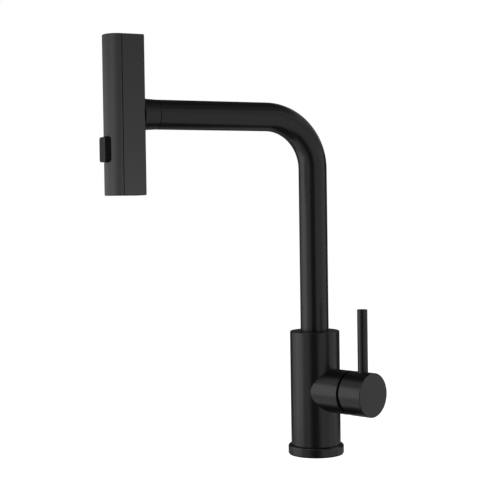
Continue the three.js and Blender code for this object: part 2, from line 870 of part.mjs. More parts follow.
const faucet = new THREE.Group();
faucet.name = 'pull_out_faucet';
pieces.forEach(([name, geometry, finish]) => {
  const mesh = new THREE.Mesh(toGeometry(toSolid(geometry)), new THREE.MeshStandardMaterial(finishes[finish]));
  mesh.name = name;
  faucet.add(mesh);
});

export default faucet;
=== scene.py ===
import json
from math import cos, hypot, pi, radians, sin, tan

import bmesh
import bpy
from mathutils import Matrix, Vector


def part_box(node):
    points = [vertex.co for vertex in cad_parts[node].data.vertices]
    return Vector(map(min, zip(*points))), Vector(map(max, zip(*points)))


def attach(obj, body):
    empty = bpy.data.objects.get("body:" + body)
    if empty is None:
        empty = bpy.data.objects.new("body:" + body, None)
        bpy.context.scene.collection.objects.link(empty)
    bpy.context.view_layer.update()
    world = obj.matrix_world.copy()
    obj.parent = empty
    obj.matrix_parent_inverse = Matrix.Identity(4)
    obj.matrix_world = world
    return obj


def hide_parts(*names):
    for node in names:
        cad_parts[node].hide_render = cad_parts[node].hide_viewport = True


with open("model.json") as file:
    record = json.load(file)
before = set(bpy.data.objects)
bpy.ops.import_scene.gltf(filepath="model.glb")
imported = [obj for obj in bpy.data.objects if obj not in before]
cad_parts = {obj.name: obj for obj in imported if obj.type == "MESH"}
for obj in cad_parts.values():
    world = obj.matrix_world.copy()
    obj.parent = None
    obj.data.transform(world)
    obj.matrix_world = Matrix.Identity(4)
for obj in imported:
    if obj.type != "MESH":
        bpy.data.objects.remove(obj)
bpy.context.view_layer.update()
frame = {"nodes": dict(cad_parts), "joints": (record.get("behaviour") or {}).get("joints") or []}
mm = 0.001
touching = 1e-6  # places this close are the same
nearby = 1e-5
joints = {joint["name"]: joint for joint in frame["joints"]}


def reach(node, direction):  # lowest and highest place of a node along a direction
    along = [vertex.co.dot(direction) for vertex in frame["nodes"][node].data.vertices]
    return min(along), max(along)


def levelFrame(direction, height):  # local z along a level direction, local y up
    up = Vector((0, 0, 1))
    side = up.cross(direction)
    matrix = Matrix((side, up, direction)).transposed().to_4x4()
    matrix.translation = (0, 0, height)
    return matrix


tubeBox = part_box("spout_tube")
tubeRadius = tubeBox[1].x
spoutHeight = tubeBox[1].z - tubeRadius
handleAxis = Vector(joints["lever_turn"]["axis"]).normalized()
handleHeight = joints["lever_turn"]["pos_m"][2]
handleFrame = levelFrame(handleAxis, handleHeight)
armAxis = Vector((0, -1, 0))
armFrame = levelFrame(armAxis, spoutHeight)

cameraSettings = {
    "azimuth": 65.48,
    "elevation": 1.46,
    "roll": -0.84,
    "distance": 1.2133,
    "aim": (-0.0312, -0.0674, 0.2174),
    "lens": 90,
    "sensor": 36,
    "nearest": 0.01,
}


def addCamera(settings):
    a, e, r = (radians(settings[key]) for key in ("azimuth", "elevation", "roll"))
    back = Vector((sin(a) * cos(e), -cos(a) * cos(e), sin(e)))
    right = Vector((cos(a), sin(a), 0))
    up = back.cross(right)
    across = right * cos(r) + up * sin(r)
    upright = up * cos(r) - right * sin(r)
    data = bpy.data.cameras.new("studioCamera")
    data.lens = settings["lens"]
    data.sensor_width = settings["sensor"]
    data.clip_start = settings["nearest"]
    camera = bpy.data.objects.new("studioCamera", data)
    bpy.context.scene.collection.objects.link(camera)
    matrix = Matrix((across, upright, back)).transposed().to_4x4()
    matrix.translation = Vector(settings["aim"]) + back * settings["distance"]
    camera.matrix_world = matrix
    bpy.context.scene.camera = camera
    return back, right


towardsCamera, towardsRight = addCamera(cameraSettings)

# soft panels in a ring: turned from the camera's side (right is positive) and raised, all in degrees
panelRing = {"distance": 0.7, "centre": (0, -0.05, 0.2)}
softPanels = [  # from, to, low, high, glow
    (-190, -120, -60, -25, 0.17),
    (-120, -55, -60, -25, 0.66),
    (-55, -20, -60, -25, 0.36),
    (20, 90, -60, -25, 0.52),
    (90, 165, -60, -25, 0.38),
    (-132, -106, -25, 20, 0.64),
    (-106, -62, -25, 20, 1.35),
    (-62, -24, -25, 20, 0.55),
    (15, 60, -25, 20, 0.53),
    (60, 112, -25, 20, 0.62),
    (-125, -60, 20, 50, 0.46),
    (-60, -20, 20, 50, 1.20),
    (-20, 20, 20, 50, 0.33),
    (20, 90, 20, 50, 0.42),
    (90, 165, 20, 50, 0.30),
    (-20, 110, 50, 78, 0.13),
]


def addPanel(ring, fromAngle, toAngle, lowAngle, highAngle, glow):
    turn = radians((fromAngle + toAngle) / 2)
    rise = radians((lowAngle + highAngle) / 2)
    flat = Vector((towardsCamera.x, towardsCamera.y, 0)).normalized()
    direction = (flat * cos(turn) + towardsRight * sin(turn)) * cos(rise) + Vector((0, 0, sin(rise)))
    distance = ring["distance"]
    width = 2 * distance * cos(rise) * tan(radians(toAngle - fromAngle) / 2)
    tall = 2 * distance * tan(radians(highAngle - lowAngle) / 2)
    data = bpy.data.lights.new("softPanel", "AREA")
    data.shape = "RECTANGLE"
    data.size = width
    data.size_y = tall
    data.energy = glow * pi * width * tall
    panel = bpy.data.objects.new("softPanel", data)
    bpy.context.scene.collection.objects.link(panel)
    panel.location = Vector(ring["centre"]) + direction * distance
    panel.rotation_euler = direction.to_track_quat("Z", "Y").to_euler()
    panel.visible_camera = False
    return panel


for softPanel in softPanels:
    addPanel(panelRing, *softPanel)
print("lights set")


class Wire:  # an output socket that adds, subtracts and scales as an expression
    def __init__(self, paint, socket):
        self.paint = paint
        self.socket = socket

    def math(self, operation, other=None, swap=False):
        pair = [other, self] if swap else [self, other]
        values = {i: value for i, value in enumerate(pair) if value is not None}
        return self.paint.node("Math", {"operation": operation}, values)[0]

    def __add__(self, other):
        return self.math("ADD", other)

    def __sub__(self, other):
        return self.math("SUBTRACT", other)

    def __rsub__(self, other):
        return self.math("SUBTRACT", other, swap=True)

    def __mul__(self, other):
        return self.math("MULTIPLY", other)

    __radd__ = __add__
    __rmul__ = __mul__


class Paint:  # one material, or the world, and the nodes that make it
    def __init__(self, name, library=bpy.data.materials):
        self.material = library.new(name)
        self.material.use_nodes = True
        self.tree = self.material.node_tree
        self.tree.nodes.clear()
        self.place = self.node("TexCoord", {}, {})["Object"]

    def node(self, kind, settings, values):
        made = self.tree.nodes.new("ShaderNode" + kind)
        for key, value in settings.items():
            if key == "stops":
                ramp = made.color_ramp
                while len(ramp.elements) < len(value):
                    ramp.elements.new(0.5)
                for element, (position, tone) in zip(ramp.elements, value):
                    element.position = position
                    element.color = (*tone, 1) if isinstance(tone, tuple) else (tone, tone, tone, 1)
            else:
                setattr(made, key, value)
        for key, value in values.items():
            if isinstance(value, Wire):
                self.tree.links.new(value.socket, made.inputs[key])
            else:
                made.inputs[key].default_value = value
        return Outputs(self, made)

    def axes(self):
        parts = self.node("SeparateXYZ", {}, {0: self.place})
        return parts["X"], parts["Y"], parts["Z"]

    def joinAxes(self, x, y, z):
        return self.node("CombineXYZ", {}, {"X": x, "Y": y, "Z": z})[0]

    def noise(self, vector, scale, detail=3.0, roughness=0.55):
        values = {"Vector": vector, "Scale": scale, "Detail": detail, "Roughness": roughness}
        return self.node("TexNoise", {}, values)["Fac"]

    def tones(self, factor, dark, light):
        stops = [(0.0, dark), (1.0, light)]
        return self.node("ValToRGB", {"stops": stops}, {"Fac": factor})["Color"]

    def bump(self, height, strength, distance):
        values = {"Height": height, "Strength": strength, "Distance": distance}
        return self.node("Bump", {}, values)["Normal"]

    def finish(self, colour, roughness, normal, metallic=0.0, level=0.5):
        values = {"Base Color": colour, "Roughness": roughness, "Normal": normal, "Metallic": metallic}
        shader = self.node("BsdfPrincipled", {}, values)
        shader.made.inputs["Specular IOR Level"].default_value = level
        self.node("OutputMaterial", {}, {"Surface": shader["BSDF"]})
        return self.material


class Outputs:  # the output sockets of one node, by name or number
    def __init__(self, paint, made):
        self.paint = paint
        self.made = made

    def __getitem__(self, key):
        return Wire(self.paint, self.made.outputs[key])


coatSettings = {
    "dark": (0.0030, 0.0030, 0.0031),
    "light": (0.0070, 0.0070, 0.0072),
    "roughness": 0.28,
    "streakPitch": 1500,  # streaks in a metre
    "streakLength": 18,
    "streakDepth": 0.00003,
    "patchPitch": 160,
    "patchLength": 9,
    "grainPitch": 2600,
    "cloudPitch": 22,
    "level": 0.5,
}


def blackCoat(name, axis, streak, settings=coatSettings):  # axis: what the brushing wheel turned about
    paint = Paint(name)
    x, y, z = paint.axes()
    if axis == "bend":
        uv = paint.node("UVMap", {"uv_map": "brushed"}, {})["UV"]
        parts = paint.node("SeparateXYZ", {}, {0: uv})
        turns = parts["X"] * (2 * pi)
        ringX = turns.math("COSINE") * tubeRadius
        ringY = turns.math("SINE") * tubeRadius
        along = parts["Y"]
        slow = (ringX, ringY)
    else:
        a = Vector(axis)
        s = Vector((0, 0, 1)).cross(a) if abs(a.z) < 0.5 else Vector((1, 0, 0))
        t = a.cross(s)
        along = x * a.x + y * a.y + z * a.z
        slow = (x * s.x + y * s.y + z * s.z, x * t.x + y * t.y + z * t.z)
    length = settings["streakLength"]
    lines = paint.joinAxes(slow[0] * length, slow[1] * length, along * settings["streakPitch"])
    fine = paint.noise(lines, 1.0, 2.0, 0.6)
    length = settings["patchLength"]
    patches = paint.joinAxes(slow[0] * length, slow[1] * length, along * settings["patchPitch"])
    broad = paint.noise(patches, 1.0, 2.0, 0.5)
    grain = paint.noise(paint.place, settings["grainPitch"], 2.0, 0.5)
    cloud = paint.noise(paint.place, settings["cloudPitch"], 3.0, 0.5)
    tone = fine * 0.45 + broad * 0.25 + cloud * 0.3
    colour = paint.tones(tone, settings["dark"], settings["light"])
    rough = settings["roughness"] - 0.04 + (fine - 0.5) * 0.10 * streak + cloud * 0.05 + (broad - 0.5) * 0.05
    height = fine * streak + broad * 0.2 * streak + grain * 0.04
    normal = paint.bump(height, 0.35, settings["streakDepth"])
    return paint.finish(colour, rough, normal, level=settings["level"])


def moulded(name, dark, light, roughness, grain=1800, depth=0.00003, level=0.5):
    paint = Paint(name)
    texture = paint.noise(paint.place, grain, 3.0, 0.6)
    cloud = paint.noise(paint.place, 60.0, 3.0, 0.5)
    colour = paint.tones(texture * 0.4 + cloud * 0.6, dark, light)
    rough = roughness - 0.05 + cloud * 0.06 + texture * 0.05
    return paint.finish(colour, rough, paint.bump(texture, 0.4, depth), level=level)


def machined(name, dark, light, roughness, pitch=2200):
    paint = Paint(name)
    x, y, z = paint.axes()
    rings = paint.noise(paint.joinAxes(x * 40, y * 40, z * pitch), 1.0, 2.0, 0.6)
    cloud = paint.noise(paint.place, 45.0, 3.0, 0.5)
    colour = paint.tones(rings * 0.5 + cloud * 0.5, dark, light)
    rough = roughness - 0.06 + rings * 0.12 + cloud * 0.04
    return paint.finish(colour, rough, paint.bump(rings, 0.3, 0.00002), metallic=1.0)


def woven(name, dark, light, roughness, pitch=900):
    paint = Paint(name)
    x, y, z = paint.axes()
    lean = (x + y) * pitch
    first = (z * pitch + lean).math("SINE")
    second = (z * pitch - lean).math("SINE")
    strands = first * second * 0.5 + 0.5
    cloud = paint.noise(paint.place, 300.0, 2.0, 0.5)
    colour = paint.tones(strands * 0.7 + cloud * 0.3, dark, light)
    rough = roughness - strands * 0.1 + cloud * 0.06
    return paint.finish(colour, rough, paint.bump(strands, 0.6, 0.00025))


up = (0, 0, 1)
broadStreaks = {**coatSettings, "streakPitch": 700, "streakDepth": 0.00006}
# the same black coat as the rest, with lighter tones: painted light that brightens the spray head
headCoatPaintedLight = {
    **coatSettings,
    "dark": (0.012, 0.012, 0.012),
    "light": (0.018, 0.018, 0.018),
    "streakPitch": 700,
    "roughness": 0.42,
}
coatUpright = blackCoat("coatUpright", up, 0.25)
coatHandle = blackCoat("coatHandle", handleAxis, 3.2, broadStreaks)
coatArm = blackCoat("coatArm", armAxis, 1.8, broadStreaks)
coatBend = blackCoat("coatBend", "bend", 0.25)
# the spray head's coat, lightened with painted light
coatHead = blackCoat("coatHead", armAxis, 0.35, headCoatPaintedLight)
buttonFace = moulded("buttonFace", (0.003, 0.003, 0.003), (0.007, 0.007, 0.007), 0.42, 1500, level=0.10)
buttonSide = moulded("buttonSide", (0.003, 0.003, 0.003), (0.006, 0.006, 0.006), 0.62, 1500, level=0.12)
blackPlastic = moulded("blackPlastic", (0.006, 0.006, 0.006), (0.011, 0.011, 0.011), 0.5)
greyPlastic = moulded("greyPlastic", (0.17, 0.18, 0.19), (0.25, 0.26, 0.27), 0.45)
ceramicWhite = moulded("ceramicWhite", (0.66, 0.65, 0.61), (0.78, 0.77, 0.73), 0.22, 3000, 0.00001)
softRubber = moulded("softRubber", (0.008, 0.008, 0.008), (0.018, 0.018, 0.018), 0.72, 1200, 0.00006, 0.35)
nozzleRubber = moulded("nozzleRubber", (0.05, 0.05, 0.052), (0.085, 0.085, 0.088), 0.6, 1500, 0.00004, 0.4)
turnedBrass = machined("turnedBrass", (0.50, 0.35, 0.14), (0.66, 0.49, 0.22), 0.32)
turnedSteel = machined("turnedSteel", (0.48, 0.48, 0.49), (0.66, 0.66, 0.67), 0.3)
hoseBraid = woven("hoseBraid", (0.012, 0.012, 0.013), (0.06, 0.06, 0.063), 0.6)
print("finishes made")

nodeFinishes = {
    "base_gasket": softRubber,
    "threaded_shank": turnedBrass,
    "deck_rubber_washer": softRubber,
    "deck_steel_washer": turnedSteel,
    "deck_nut": turnedBrass,
    "hot_inlet_nipple": turnedSteel,
    "cold_inlet_nipple": turnedSteel,
    "mixed_outlet_nipple": turnedSteel,
    "cartridge_seal": softRubber,
    "cartridge_base": greyPlastic,
    "cartridge_housing": greyPlastic,
    "fixed_disc": ceramicWhite,
    "moving_disc": ceramicWhite,
    "bonnet_nut": turnedBrass,
    "stem_carrier": greyPlastic,
    "stem_pin": turnedSteel,
    "cartridge_stem": turnedSteel,
    "hub_set_screw": turnedSteel,
    "hub_plug": softRubber,
    "thrust_washer": greyPlastic,
    "swivel_bush": greyPlastic,
    "swivel_nut": coatUpright,
    "spout_foot": turnedBrass,
    "docking_sleeve": blackPlastic,
    "dock_magnet": turnedSteel,
    "hose_riser": hoseBraid,
    "hose_arm_run": hoseBraid,
    "hose_fitting": turnedSteel,
    "inlet_seal": softRubber,
    "magnet_keeper": turnedSteel,
    "head_chassis": blackPlastic,
    "chassis_screw_upper": turnedSteel,
    "chassis_screw_lower": turnedSteel,
    "check_valve": greyPlastic,
    "spray_plate": blackPlastic,
    "nozzle_pad": nozzleRubber,
    "aerator_housing": blackPlastic,
    "aerator_insert": greyPlastic,
    "diverter_spool": greyPlastic,
    "spool_gland": turnedBrass,
}

for nodeName, finish in nodeFinishes.items():
    nodeMesh = frame["nodes"][nodeName].data
    nodeMesh.materials.clear()
    nodeMesh.materials.append(finish)
print("inner and lower pieces painted")


def deselect():
    if bpy.context.object and bpy.context.object.mode == "EDIT":
        bpy.ops.object.mode_set(mode="OBJECT")
    bpy.ops.object.select_all(action="DESELECT")


def choose(piece):  # the only one selected, and the active one
    deselect()
    piece.select_set(True)
    bpy.context.view_layer.objects.active = piece


def named(name):
    piece = bpy.context.object
    piece.name = name
    piece.data.name = name
    return piece


def editing():
    bpy.ops.object.mode_set(mode="EDIT")


def done():
    bpy.ops.object.mode_set(mode="OBJECT")


def pick(kind, test):  # select the faces or edges that pass a test
    mesh = bmesh.from_edit_mesh(bpy.context.object.data)
    mesh.select_mode = {"EDGE"} if kind == "edges" else {"FACE"}
    for group in (mesh.verts, mesh.edges, mesh.faces):
        for element in group:
            element.select = False
    chosen = [element for element in getattr(mesh, kind) if test(element)]
    for element in chosen:
        element.select_set(True)
    mesh.select_flush_mode()
    bmesh.update_edit_mesh(bpy.context.object.data)


def ringEdges(height, radius=None):  # the edges that lie at a height, and at a radius if one is given
    def test(edge):
        for vertex in edge.verts:
            if abs(vertex.co.z - height) > nearby:
                return False
            if radius is not None and abs(hypot(vertex.co.x, vertex.co.y) - radius) > nearby:
                return False
        return True
    return test


def bevelRing(height, radius, offset, segments):
    pick("edges", ringEdges(height, radius))
    bpy.ops.mesh.bevel(offset=offset, segments=segments, profile=0.5, affect="EDGES")


# the outline runs up the outside, over the top and down the inside, as (radius, height)
def turnedPiece(name, outline, sides=128):
    deselect()
    (radius, low), (nextRadius, high) = outline[0], outline[1]
    bpy.ops.mesh.primitive_cylinder_add(
        vertices=sides, radius=radius, depth=high - low, location=(0, 0, (low + high) / 2))
    piece = named(name)
    bpy.ops.object.transform_apply(location=True, rotation=True, scale=True)
    editing()
    pick("faces", lambda face: face.calc_center_median().z > high - touching)
    if nextRadius != radius:
        factor = nextRadius / radius
        bpy.ops.transform.resize(value=(factor, factor, 1), center_override=(0, 0, high))
    now = nextRadius
    for radius, height in outline[2:]:
        step = (0, 0, height - high)
        bpy.ops.mesh.extrude_region_move(TRANSFORM_OT_translate={"value": step})
        if radius != now:
            factor = radius / now
            bpy.ops.transform.resize(value=(factor, factor, 1), center_override=(0, 0, height))
        now, high = radius, height
    bpy.ops.mesh.select_all(action="SELECT")
    bpy.ops.mesh.normals_make_consistent(inside=False)
    done()
    return piece


def place(piece, matrix):
    choose(piece)
    piece.matrix_world = matrix
    bpy.ops.object.transform_apply(location=True, rotation=True, scale=True)
    return piece


def smooth(piece, angle=24):
    choose(piece)
    bpy.ops.object.shade_smooth_by_angle(angle=radians(angle))
    return applied(piece, "WEIGHTED_NORMAL", keep_sharp=True)  # keeps flats flat beside round edges


def applied(piece, kind, **settings):
    choose(piece)
    modifier = piece.modifiers.new(kind.lower(), kind)
    for key, value in settings.items():
        setattr(modifier, key, value)
    bpy.ops.object.modifier_apply(modifier=modifier.name)
    return piece


def carve(piece, tool, operation="DIFFERENCE"):
    applied(piece, "BOOLEAN", operation=operation, object=tool, solver="EXACT")
    bpy.data.objects.remove(tool)
    return piece


def bored(piece, radius, low, high):  # a hole right through, from low to high
    past = 1 * mm
    tool = turnedPiece("boreTool", [(radius, low - past), (radius, high + past)])
    return carve(piece, tool)


def settle(piece, body, slot, *nodes):
    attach(piece, body)
    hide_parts(*nodes)
    print("made", piece.name, len(piece.data.polygons))
    return piece


def finishPiece(piece, material, body, slot, *nodes):
    piece.data.materials.clear()
    piece.data.materials.append(material)
    return settle(piece, body, slot, *nodes)


ringSettings = {
    "sides": 160,
    "fillet": 2.1 * mm,
    "innerEdge": 0.7 * mm,
    "bottomEdge": 0.2 * mm,
    "bore": 22.2 * mm,
    "grooveRadius": 25.25 * mm,
    "grooveDepth": 1.1 * mm,
}


def makeBaseRing(settings):
    low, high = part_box("base_ring")
    radius = high.x
    groove = settings["grooveRadius"]
    ring = turnedPiece("baseRing", [
        (radius, low.z), (radius, high.z), (groove, high.z), (groove, high.z - settings["grooveDepth"]),
    ], settings["sides"])
    editing()
    bevelRing(high.z, radius, settings["fillet"], 10)
    bevelRing(high.z, groove, settings["innerEdge"], 5)
    bevelRing(low.z, radius, settings["bottomEdge"], 3)
    done()
    bored(ring, settings["bore"], low.z, high.z)
    return finishPiece(smooth(ring), coatUpright, "body", "black_coat", "base_ring")


makeBaseRing(ringSettings)

bodySettings = {
    "sides": 192,
    "footRadius": 22.0 * mm,
    "topEdge": 1.3 * mm,
    "footEdge": 0.3 * mm,
    "footGap": 0.15 * mm,
    "socketRadius": 18.2 * mm,
    "socketDepth": 9.5 * mm,
    "socketEdge": 0.25 * mm,
    "barrelStart": 4.0 * mm,
    "mouthRadius": 17.5 * mm,
    "mouthDepth": 2.6 * mm,
    "mouthEdge": 0.35 * mm,
}


def paintSplit(piece, index, *materials):  # both materials on the piece, all faces on one of them
    piece.data.materials.clear()
    for material in materials:
        piece.data.materials.append(material)
    for face in piece.data.polygons:
        face.material_index = index


def makeBody(settings):
    low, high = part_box("valve_body")
    radius = -low.x
    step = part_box("base_ring")[1].z - ringSettings["grooveDepth"] + settings["footGap"]
    socket = settings["socketRadius"]
    outline = [
        (settings["footRadius"], low.z), (settings["footRadius"], step), (radius, step),
        (radius, high.z), (socket, high.z), (socket, high.z - settings["socketDepth"]),
    ]
    body = turnedPiece("valveBody", outline, settings["sides"])
    editing()
    bevelRing(high.z, radius, settings["topEdge"], 6)
    bevelRing(step, radius, settings["footEdge"], 3)
    bevelRing(high.z, socket, settings["socketEdge"], 2)
    done()
    hubLow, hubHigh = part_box("lever_hub")
    barrelRadius = (hubHigh.z - hubLow.z) / 2
    end = reach("valve_body", handleAxis)[1]
    mouth = settings["mouthRadius"]
    barrel = turnedPiece("sideBarrel", [
        (barrelRadius, settings["barrelStart"]), (barrelRadius, end),
        (mouth, end), (mouth, end - settings["mouthDepth"]),
    ], settings["sides"])
    editing()
    bevelRing(end, barrelRadius, settings["mouthEdge"], 3)
    bevelRing(end, mouth, settings["mouthEdge"], 2)
    done()
    place(barrel, handleFrame)
    paintSplit(body, 0, coatUpright, coatHandle)
    paintSplit(barrel, 1, coatUpright, coatHandle)
    carve(body, barrel, "UNION")
    return settle(smooth(body, 20), "body", "black_coat", "valve_body")


makeBody(bodySettings)

domeSettings = {"radius": 16.0 * mm, "wall": 1.2 * mm, "hole": 8.0 * mm, "segments": 96, "rings": 64}


def makeDome(settings):
    pivot = Vector(joints["lever_lift"]["pos_m"]).dot(handleAxis)
    radius = settings["radius"]
    foot = reach("bonnet_dome", handleAxis)[0] - pivot
    deselect()
    bpy.ops.mesh.primitive_uv_sphere_add(
        segments=settings["segments"], ring_count=settings["rings"], radius=radius, location=(0, 0, 0))
    dome = named("bonnetDome")
    editing()
    bpy.ops.mesh.select_all(action="SELECT")
    bpy.ops.mesh.bisect(plane_co=(0, 0, foot), plane_no=(0, 0, 1), clear_inner=True)
    bpy.ops.mesh.select_all(action="SELECT")
    top = (radius ** 2 - settings["hole"] ** 2) ** 0.5
    bpy.ops.mesh.bisect(plane_co=(0, 0, top), plane_no=(0, 0, 1), clear_outer=True)
    done()
    applied(dome, "SOLIDIFY", thickness=settings["wall"], offset=-1)
    place(dome, handleFrame @ Matrix.Translation((0, 0, pivot)))
    return finishPiece(smooth(dome, 40), coatHandle, "body", "black_coat", "bonnet_dome")


makeDome(domeSettings)

hubSettings = {
    "sides": 192,
    "endTrim": 0.15 * mm,
    "endEdge": 0.55 * mm,
    "rimEdge": 0.3 * mm,
    "wall": 3.2 * mm,
    "depth": 8.0 * mm,
    "relief": 9.5,  # degrees
}


def makeHub(settings):
    low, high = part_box("lever_hub")
    radius = (high.z - low.z) / 2
    start, end = reach("lever_hub", handleAxis)
    end -= settings["endTrim"]
    hub = turnedPiece("leverHub", [(radius, start), (radius, end)], settings["sides"])
    editing()
    bevelRing(end, radius, settings["endEdge"], 5)
    lean = radians(settings["relief"])
    bpy.ops.mesh.select_all(action="SELECT")
    bpy.ops.mesh.bisect(
        plane_co=(0, 0, start), plane_no=(0, sin(lean), cos(lean)), clear_inner=True, use_fill=True)
    pick("faces", lambda face: face.normal.z < -0.9)
    bpy.ops.mesh.inset(thickness=settings["wall"], use_boundary=True)
    bpy.ops.mesh.extrude_region_move(TRANSFORM_OT_translate={"value": (0, 0, settings["depth"])})
    pick("edges", lambda edge: len(edge.link_faces) == 2 and edge.calc_face_angle(0) > 0.9 and all(
        abs(hypot(vertex.co.x, vertex.co.y) - radius) < nearby for vertex in edge.verts))
    bpy.ops.mesh.bevel(offset=settings["rimEdge"], segments=2, profile=0.5, affect="EDGES")
    bpy.ops.mesh.select_all(action="SELECT")
    bpy.ops.mesh.normals_make_consistent(inside=False)
    done()
    place(hub, handleFrame)
    return finishPiece(smooth(hub, 20), coatHandle, "lever", "black_coat", "lever_hub")


makeHub(hubSettings)

rodSettings = {"sides": 96, "topEdge": 0.45 * mm, "crown": 0.12 * mm}


def makeRod(settings):
    low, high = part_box("lever_rod")
    radius = (high.y - low.y) / 2
    centre = (low + high) / 2
    flat = radius - settings["topEdge"]
    shoulder = high.z - settings["crown"]
    rod = turnedPiece("leverRod", [(radius, low.z), (radius, shoulder), (flat, high.z)], settings["sides"])
    editing()
    bevelRing(shoulder, radius, settings["topEdge"], 4)
    done()
    place(rod, Matrix.Translation((centre.x, centre.y, 0)))
    return finishPiece(smooth(rod), coatUpright, "lever", "black_coat", "lever_rod")


makeRod(rodSettings)

spoutSettings = {"bendRadius": 51.5 * mm, "wall": 1.3 * mm, "sides": 128, "bendSteps": 64, "edge": 0.3 * mm}


def makeSpout(settings):
    low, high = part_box("spout_tube")
    bend = settings["bendRadius"]
    end = -low.y
    bendStart = spoutHeight - bend
    deselect()
    bpy.ops.mesh.primitive_circle_add(
        vertices=settings["sides"], radius=tubeRadius, fill_type="NOTHING", location=(0, 0, low.z))
    tube = named("spoutTube")
    bpy.ops.object.transform_apply(location=True, rotation=True, scale=True)
    editing()
    bpy.ops.mesh.select_all(action="SELECT")
    bpy.ops.mesh.extrude_region_move(TRANSFORM_OT_translate={"value": (0, 0, bendStart - low.z)})
    bpy.ops.mesh.spin(
        steps=settings["bendSteps"], angle=-pi / 2, use_auto_merge=False,
        center=(0, -bend, bendStart), axis=(1, 0, 0))
    bpy.ops.mesh.extrude_region_move(TRANSFORM_OT_translate={"value": (0, -(end - bend), 0)})
    bpy.ops.mesh.select_all(action="SELECT")
    bpy.ops.mesh.remove_doubles(threshold=touching)
    bpy.ops.mesh.normals_make_consistent(inside=False)
    done()
    applied(tube, "SOLIDIFY", thickness=settings["wall"], offset=-1)
    editing()
    bpy.ops.mesh.select_all(action="SELECT")
    bpy.ops.mesh.normals_make_consistent(inside=False)

    def outerRim(vertex):
        radius = hypot(vertex.co.x, vertex.co.z - spoutHeight)
        return abs(vertex.co.y + end) < nearby and abs(radius - tubeRadius) < 2 * nearby

    pick("edges", lambda edge: all(outerRim(vertex) for vertex in edge.verts))
    bpy.ops.mesh.bevel(offset=settings["edge"], segments=3, profile=0.5, affect="EDGES")
    done()
    followTube(tube, bend, bendStart)
    return finishPiece(smooth(tube, 30), coatBend, "spout", "black_coat", "spout_tube")


def followTube(tube, bend, bendStart):  # a map of turns round the tube and metres along it
    layer = tube.data.uv_layers.new(name="brushed")
    for face in tube.data.polygons:
        for corner in face.loop_indices:
            x, y, z = tube.data.vertices[tube.data.loops[corner].vertex_index].co
            if z < bendStart:
                along, depth = z, y
            elif y > -bend:
                reachOut = hypot(y + bend, z - bendStart)
                angle = pi / 2 - Vector((y + bend, z - bendStart)).angle_signed(Vector((0, 1)))
                along, depth = bendStart + bend * angle, reachOut - bend
            else:
                along, depth = bendStart + bend * pi / 2 - (y + bend), z - spoutHeight
            turn = Vector((x, depth)).angle_signed(Vector((1, 0)), 0) / (2 * pi)
            layer.data[corner].uv = (turn, along)


makeSpout(spoutSettings)

collarSettings = {
    "seamEdge": 0.35 * mm,
    "backEdge": 0.4 * mm,
    "seamGap": 0.4 * mm,
    "seamStep": 0.05 * mm,
    "neckRadius": 9.1 * mm,
    "bore": 7.3 * mm,
}


def makeCollar(settings):
    start, end = reach("head_collar", armAxis)
    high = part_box("head_collar")[1]
    large = high.x
    seam = -tubeBox[0].y + settings["seamGap"]
    small = tubeRadius - settings["seamStep"]
    neck = settings["neckRadius"]
    collar = turnedPiece("headCollar", [(neck, start), (neck, seam), (small, seam), (large, end)])
    editing()
    bevelRing(seam, small, settings["seamEdge"], 4)
    bevelRing(end, large, settings["backEdge"], 3)
    done()
    bored(collar, settings["bore"], start, end)
    place(collar, armFrame)
    return finishPiece(smooth(collar), coatArm, "head", "black_coat", "head_collar")


makeCollar(collarSettings)

headSettings = {
    "backEdge": 1.5 * mm,
    "endEdge": 1.0 * mm,
    "wall": 2.0 * mm,
    "noseSegments": 28,
    "seamEdge": 0.18 * mm,
}


def headBlank(settings):
    rearLow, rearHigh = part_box("head_rear_shell")
    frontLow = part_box("head_front_shell")[0]
    half = rearHigh.x
    low = Vector((-half, frontLow.y, rearLow.z))
    high = Vector((half, rearHigh.y, rearHigh.z))
    deselect()
    bpy.ops.mesh.primitive_cube_add(size=1, location=(low + high) / 2, scale=high - low)
    blank = named("headBlank")
    bpy.ops.object.transform_apply(location=True, rotation=True, scale=True)
    editing()

    def upright(y):
        return lambda edge: all(abs(vertex.co.y - y) < touching for vertex in edge.verts) and abs(
            edge.verts[0].co.z - edge.verts[1].co.z) > 10 * mm

    pick("edges", upright(low.y))
    noseRound = half * 0.9999  # the two rounded edges all but meet in the middle
    bpy.ops.mesh.bevel(
        offset=noseRound, segments=settings["noseSegments"], profile=0.5, affect="EDGES", clamp_overlap=False)
    pick("edges", upright(high.y))
    bpy.ops.mesh.bevel(offset=settings["backEdge"], segments=6, profile=0.5, affect="EDGES")
    bpy.ops.mesh.select_all(action="SELECT")
    bpy.ops.mesh.remove_doubles(threshold=5e-6)
    for level in (low.z, high.z):
        pick("edges", ringEdges(level))
        bpy.ops.mesh.bevel(offset=settings["endEdge"], segments=4, profile=0.5, affect="EDGES")
    done()
    return blank


def makeShell(name, node, settings, plane, keepBack):
    shell = headBlank(settings)
    shell.name = name
    shell.data.name = name
    bottom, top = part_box(node)[0].z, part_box(node)[1].z
    editing()
    bpy.ops.mesh.select_all(action="SELECT")
    bpy.ops.mesh.bisect(
        plane_co=(0, plane, 0), plane_no=(0, 1, 0), clear_inner=keepBack, clear_outer=not keepBack)
    pick("faces", lambda face: face.normal.z < -0.99 and face.calc_center_median().z < bottom + 0.1 * mm)
    bpy.ops.mesh.delete(type="FACE")
    bpy.ops.mesh.select_all(action="SELECT")
    bpy.ops.mesh.normals_make_consistent(inside=False)
    done()
    applied(shell, "SOLIDIFY", thickness=settings["wall"], offset=-1, use_even_offset=True)
    editing()
    pick("edges", lambda edge: all(abs(vertex.co.y - plane) < touching for vertex in edge.verts) and len(
        edge.link_faces) == 2 and edge.calc_face_angle(0) > 0.7)
    bpy.ops.mesh.bevel(offset=settings["seamEdge"], segments=2, profile=0.5, affect="EDGES")
    done()
    for vertex in shell.data.vertices:  # the bevel's corners stay under the flat top
        vertex.co.z = min(vertex.co.z, top)
    return shell


